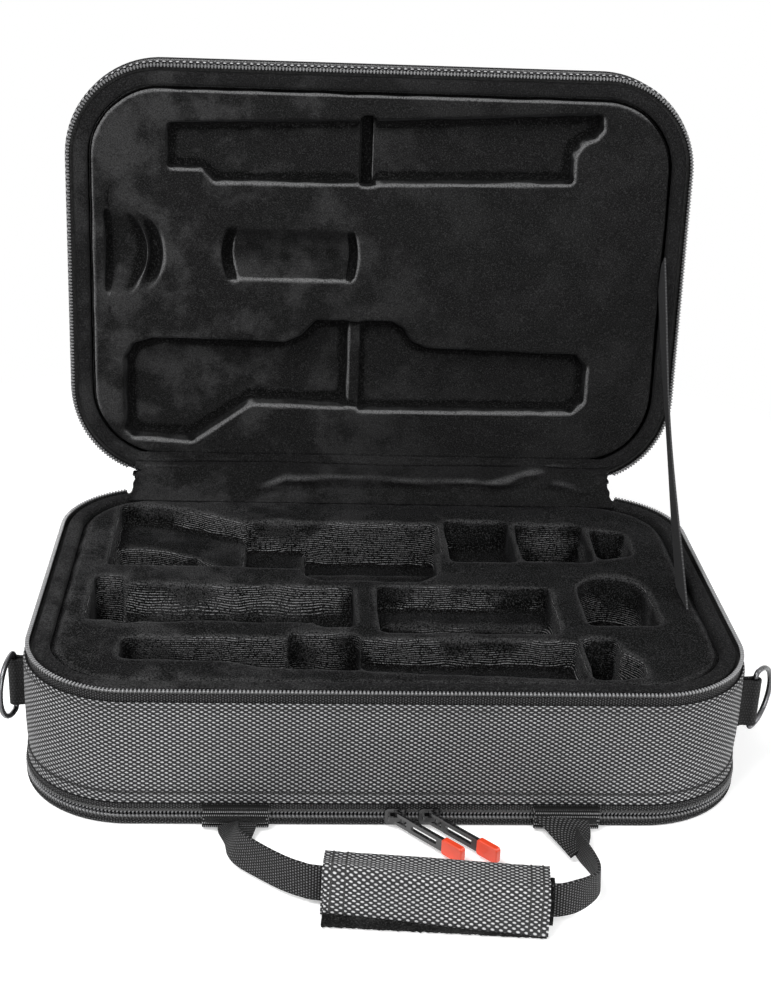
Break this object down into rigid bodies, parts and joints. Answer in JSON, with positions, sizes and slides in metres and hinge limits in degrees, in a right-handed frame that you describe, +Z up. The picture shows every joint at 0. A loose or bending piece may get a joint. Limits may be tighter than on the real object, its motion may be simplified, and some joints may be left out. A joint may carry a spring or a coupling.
{
  "type": "oboe case",
  "caption": "Open zipped oboe case: fabric-covered shell with moulded plush inserts, a strapped lid, a zip-on accessory base, a padded front handle and side D-rings.",
  "frame": {"origin": "middle of the flat underside, where the case rests", "axes": "+Z up from the resting face, +X to the case's right as it faces the player, +Y to the hinge side"},
  "size_m": [0.3782, 0.3761, 0.3045],
  "materials": {
    "woven_fabric": "coarse grey weave on a dark ground",
    "plush": "short black pile",
    "plush_foam": "moulded foam under short black pile",
    "zip_tape": "black herringbone tape",
    "webbing": "black ribbed webbing",
    "ribbon": "dark grey ribbed ribbon",
    "hook_and_loop": "black fuzzy strip",
    "teeth": "dark grey moulded coil",
    "shell": "black fibre board",
    "gunmetal": "dark gunmetal",
    "dark_metal": "black nickel",
    "orange_tip": "orange-red, smooth"
  },
  "bodies": {
    "base": {"base_shell": "shell", "base_cover": "woven_fabric", "base_hem": "woven_fabric", "base_rim_pad": "plush", "base_insert": "plush_foam", "main_zip_base_tape": "zip_tape", "main_zip_base_teeth": "teeth", "compartment_zip_upper_tape": "zip_tape", "compartment_zip_upper_teeth": "teeth", "outer_hinge_strip": "zip_tape", "inner_hinge_gusset": "plush", "stay_strap": "ribbon", "bottom_hinge_strip": "zip_tape", "handle_anchor_left": "webbing", "handle_anchor_right": "webbing", "ring_tab_left": "webbing", "ring_tab_right": "webbing"},
    "lid": {"lid_shell": "shell", "lid_side_band": "woven_fabric", "lid_top_panel": "woven_fabric", "lid_rim_pad": "plush", "lid_insert": "plush_foam", "main_zip_lid_tape": "zip_tape", "main_zip_lid_teeth": "teeth"},
    "compartment_cover": {"bottom_cover": "woven_fabric", "bottom_board": "shell", "compartment_zip_lower_tape": "zip_tape", "compartment_zip_lower_teeth": "teeth"},
    "handle": {"handle_strap": "webbing", "grip_pad": "plush_foam", "grip_wrap": "woven_fabric"},
    "grip_flap": {"grip_flap": "woven_fabric"},
    "ring_left": {"d_ring_left": "gunmetal"},
    "ring_right": {"d_ring_right": "gunmetal"},
    "lower_slider_left": {"compartment_slider_left": "dark_metal"},
    "lower_slider_right": {"compartment_slider_right": "dark_metal"},
    "lower_pull_left": {"compartment_pull_left": "dark_metal", "compartment_pull_tip_left": "orange_tip"},
    "lower_pull_right": {"compartment_pull_right": "dark_metal", "compartment_pull_tip_right": "orange_tip"},
    "upper_slider_left": {"main_slider_left": "dark_metal"},
    "upper_slider_right": {"main_slider_right": "dark_metal"},
    "upper_pull_left": {"main_pull_left": "dark_metal", "main_pull_tip_left": "orange_tip"},
    "upper_pull_right": {"main_pull_right": "dark_metal", "main_pull_tip_right": "orange_tip"}
  },
  "joints": [
    {"name": "lid_hinge", "type": "hinge", "parent": "base", "child": "lid", "pos_m": [0, 0.119, 0.071], "axis": [1, 0, 0], "range_deg": [0, 95], "deforming": ["stay_strap", "inner_hinge_gusset", "outer_hinge_strip"]},
    {"name": "compartment_cover_hinge", "type": "hinge", "parent": "base", "child": "compartment_cover", "pos_m": [0, 0.1166, 0.0063], "axis": [1, 0, 0], "range_deg": [0, 80], "deforming": ["bottom_hinge_strip"]},
    {"name": "handle_swing", "type": "hinge", "parent": "base", "child": "handle", "pos_m": [0.006, -0.12225, 0.0065], "axis": [-1, 0, 0], "range_deg": [0, 60]},
    {"name": "grip_flap_hinge", "type": "hinge", "parent": "handle", "child": "grip_flap", "pos_m": [0.01537, -0.19099, 0.0187], "axis": [-0.9934, 0.1148, 0], "range_deg": [0, 110]},
    {"name": "ring_left_swing", "type": "hinge", "parent": "base", "child": "ring_left", "pos_m": [-0.1795, -0.056, 0.041], "axis": [0, 0, 1], "range_deg": [-158, 7]},
    {"name": "ring_right_swing", "type": "hinge", "parent": "base", "child": "ring_right", "pos_m": [0.1795, -0.07, 0.041], "axis": [0, 0, 1], "range_deg": [-135, 30]},
    {"name": "lower_slider_left_run", "type": "slide", "parent": "base", "child": "lower_slider_left", "axis": [-1, 0, 0], "range_m": [0, 0.046]},
    {"name": "lower_slider_right_run", "type": "slide", "parent": "base", "child": "lower_slider_right", "axis": [1, 0, 0], "range_m": [0, 0.028]},
    {"name": "lower_pull_left_swing", "type": "hinge", "parent": "lower_slider_left", "child": "lower_pull_left", "pos_m": [0.003, -0.1197, 0.0063], "axis": [0, 0, -1], "range_deg": [0, 44]},
    {"name": "lower_pull_right_swing", "type": "hinge", "parent": "lower_slider_right", "child": "lower_pull_right", "pos_m": [0.019, -0.1197, 0.0063], "axis": [0, 0, -1], "range_deg": [-34, 4]},
    {"name": "upper_slider_left_run", "type": "hinge", "parent": "lid", "child": "upper_slider_left", "pos_m": [-0.1205, 0.12379, 0.12579], "axis": [0, 0.9962, -0.0872], "range_deg": [0, 55]},
    {"name": "upper_slider_right_run", "type": "hinge", "parent": "lid", "child": "upper_slider_right", "pos_m": [0.1205, 0.12379, 0.12579], "axis": [0, -0.9962, 0.0872], "range_deg": [0, 55]},
    {"name": "upper_pull_left_swing", "type": "hinge", "parent": "upper_slider_left", "child": "upper_pull_left", "pos_m": [-0.13342, 0.11928, 0.07417], "axis": [0, 0.9962, -0.0872], "range_deg": [0, 70]},
    {"name": "upper_pull_right_swing", "type": "hinge", "parent": "upper_slider_right", "child": "upper_pull_right", "pos_m": [0.13342, 0.11928, 0.07417], "axis": [0, -0.9962, 0.0872], "range_deg": [0, 70]}
  ]
}
